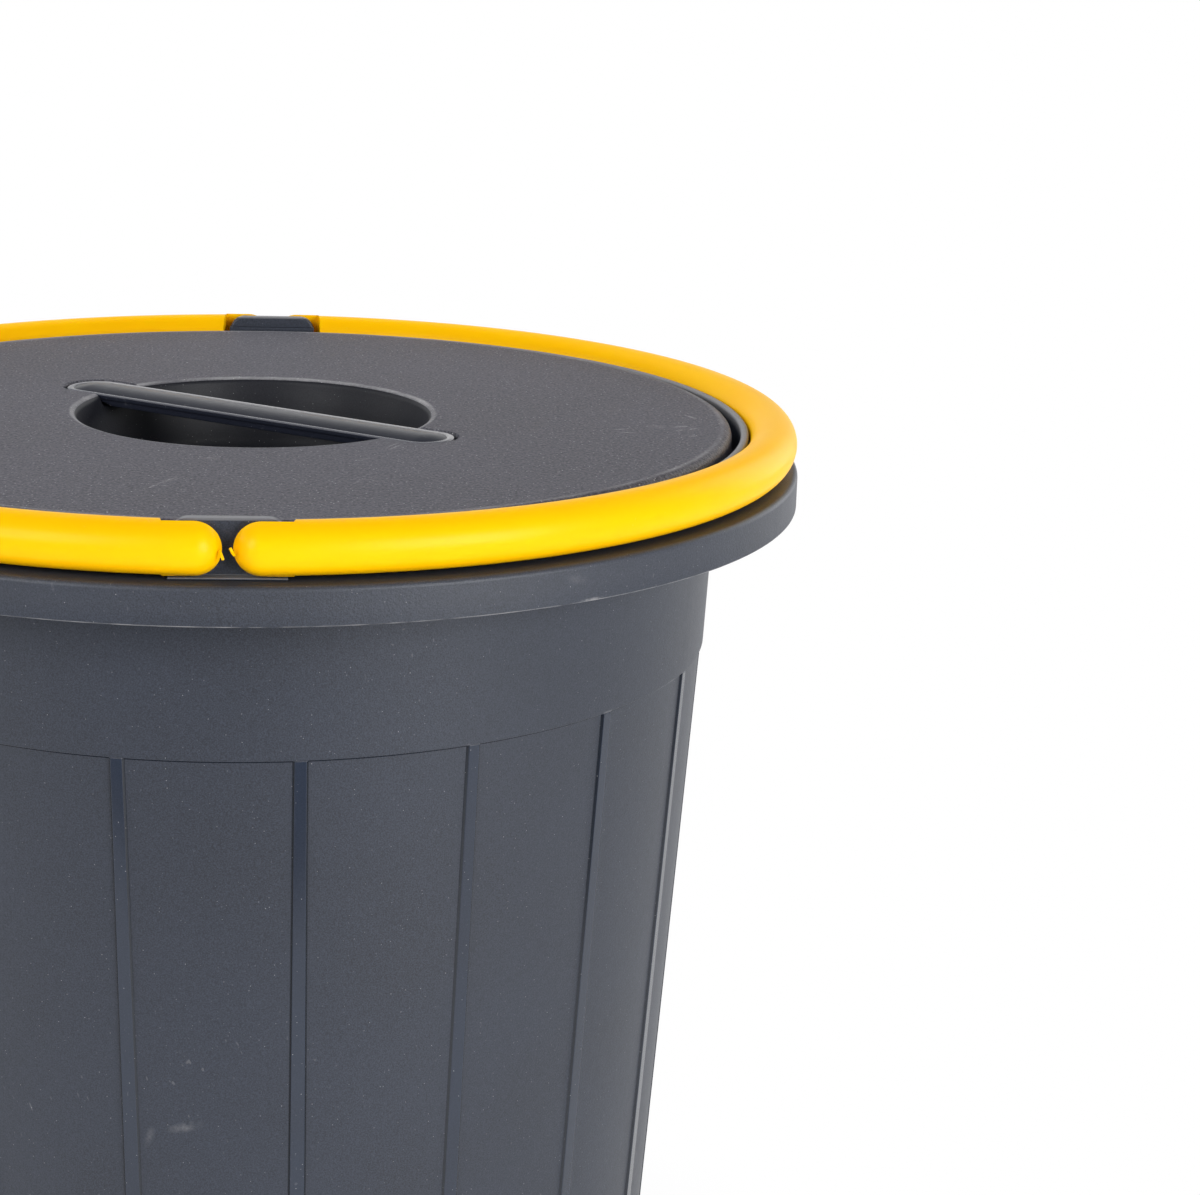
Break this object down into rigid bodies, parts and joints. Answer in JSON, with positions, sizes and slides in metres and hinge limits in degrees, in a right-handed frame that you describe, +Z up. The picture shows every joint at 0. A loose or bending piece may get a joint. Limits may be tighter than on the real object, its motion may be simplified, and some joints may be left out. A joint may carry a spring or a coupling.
{
  "type": "round recycling bin",
  "caption": "Round tapered plastic bin with a drop-in lid, a grip bar across its finger recess, and two half-ring carrying handles hinged on the rim.",
  "frame": {"origin": "on the floor, in the middle of the bin's foot", "axes": "+Z up along the bin's turning axis, +Y from the front hinge block to the rear one, +X to the right-hand half ring"},
  "size_m": [0.4, 0.4, 0.4383],
  "materials": {
    "body_plastic": "moulded polypropylene, fine spark-eroded grain, anthracite",
    "lid_plastic": "moulded polypropylene, fine grain, anthracite with light scuffs",
    "handle_plastic": "moulded polypropylene, satin, bright yellow"
  },
  "bodies": {
    "bin": {"bin_body": "body_plastic", "hinge_block_front": "body_plastic", "hinge_block_rear": "body_plastic"},
    "lid": {"lid": "lid_plastic", "lid_grip_bar": "lid_plastic"},
    "left_ring": {"handle_left": "handle_plastic"},
    "right_ring": {"handle_right": "handle_plastic"}
  },
  "joints": [
    {"name": "lid_lift", "type": "slide", "parent": "bin", "child": "lid", "axis": [0, 0, 1], "range_m": [0, 0.0365]},
    {"name": "left_ring_hinge", "type": "hinge", "parent": "bin", "child": "left_ring", "pos_m": [-0.01015, 0, 0.4298], "axis": [0, 1, 0], "range_deg": [0, 90]},
    {"name": "right_ring_hinge", "type": "hinge", "parent": "bin", "child": "right_ring", "pos_m": [0.01015, 0, 0.4298], "axis": [0, -1, 0], "range_deg": [0, 90]}
  ]
}
